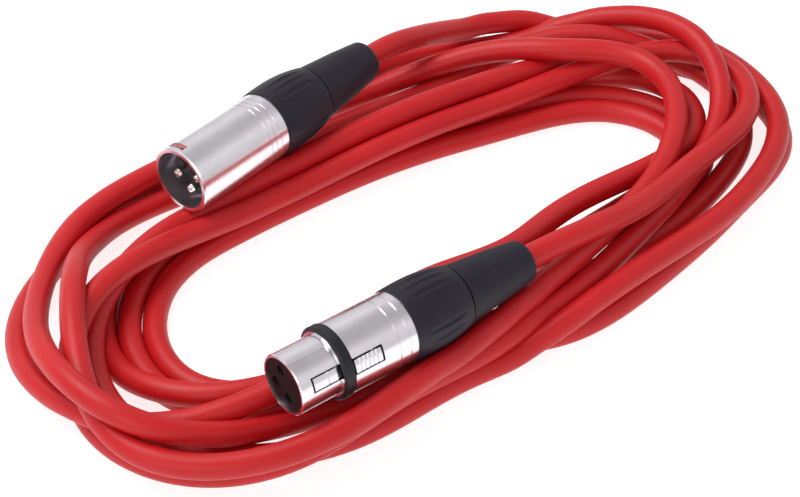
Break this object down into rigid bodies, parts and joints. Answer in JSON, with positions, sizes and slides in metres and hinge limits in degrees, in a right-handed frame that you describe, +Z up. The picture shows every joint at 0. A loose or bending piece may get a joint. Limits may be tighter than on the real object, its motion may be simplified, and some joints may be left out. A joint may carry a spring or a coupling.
{
  "type": "coiled microphone cable",
  "caption": "A red microphone cable lying in a flat oval coil, with a three-pin male and a three-pin female connector resting on top.",
  "frame": {"origin": "centre of the coil's outline, on the floor", "axes": "+X along the coil and from the female connector's face to its boot, +Y across the coil toward the male connector, +Z up"},
  "size_m": [0.243, 0.133, 0.0336],
  "materials": {
    "cable_jacket": "red cable jacket with a soft satin surface",
    "nickel": "satin nickel plating on a cast shell",
    "black_plastic": "black moulded contact holder",
    "pin_metal": "bright silver plating",
    "contact_brass": "plated brass socket contact",
    "spring_metal": "spring strip and wire",
    "clamp_plastic": "cable clamp of hard plastic",
    "nut_plastic": "dark blue-black plastic nut",
    "boot_rubber": "dark blue-black rubber boot",
    "seal_rubber": "black rubber ring",
    "wire_plastic": "insulation of the inner wires"
  },
  "bodies": {
    "cable": {"cable_coil": "cable_jacket", "male_lead": "cable_jacket", "female_lead": "cable_jacket", "male_shell": "nickel", "male_insert": "black_plastic", "male_contacts": "pin_metal", "male_ground_contact": "spring_metal", "male_chuck": "clamp_plastic", "male_cable_end": "cable_jacket", "male_conductors": "wire_plastic", "female_shell": "nickel", "female_insert": "black_plastic", "female_contacts": "contact_brass", "female_ground_contact": "spring_metal", "female_chuck": "clamp_plastic", "female_cable_end": "cable_jacket", "female_conductors": "wire_plastic", "female_latch_pin": "pin_metal", "female_latch_spring": "spring_metal", "female_seal_ring": "seal_rubber"},
    "latch": {"female_latch": "nickel"},
    "male_boot": {"male_boot": "boot_rubber"},
    "male_nut": {"male_nut": "nut_plastic"},
    "female_boot": {"female_boot": "boot_rubber"},
    "female_nut": {"female_nut": "nut_plastic"}
  },
  "joints": [
    {"name": "latch_press", "type": "hinge", "parent": "cable", "child": "latch", "pos_m": [-0.0602, -0.05994, 0.02634], "axis": [0, -0.3907, -0.9205], "range_deg": [0, 6], "stiffness_Nm_per_rad": 0.2, "springref_deg": -5.73},
    {"name": "male_boot_slide", "type": "slide", "parent": "cable", "child": "male_boot", "axis": [0.9829, 0.184, 0], "range_m": [0, 0.004]},
    {"name": "male_nut_turn", "type": "hinge", "parent": "male_boot", "child": "male_nut", "pos_m": [-0.017, 0.03444, 0.0236], "axis": [0.9829, 0.184, 0], "range_deg": [0, 1440]},
    {"name": "female_boot_slide", "type": "slide", "parent": "cable", "child": "female_boot", "axis": [1, 0, 0], "range_m": [0, 0.004]},
    {"name": "female_nut_turn", "type": "hinge", "parent": "female_boot", "child": "female_nut", "pos_m": [-0.039, -0.0535, 0.0236], "axis": [1, 0, 0], "range_deg": [0, 1440]}
  ],
  "couplings": [
    {"joint": "male_boot_slide", "follows": "male_nut_turn", "m_per_rad": 0.00015915},
    {"joint": "female_boot_slide", "follows": "female_nut_turn", "m_per_rad": 0.00015915}
  ]
}
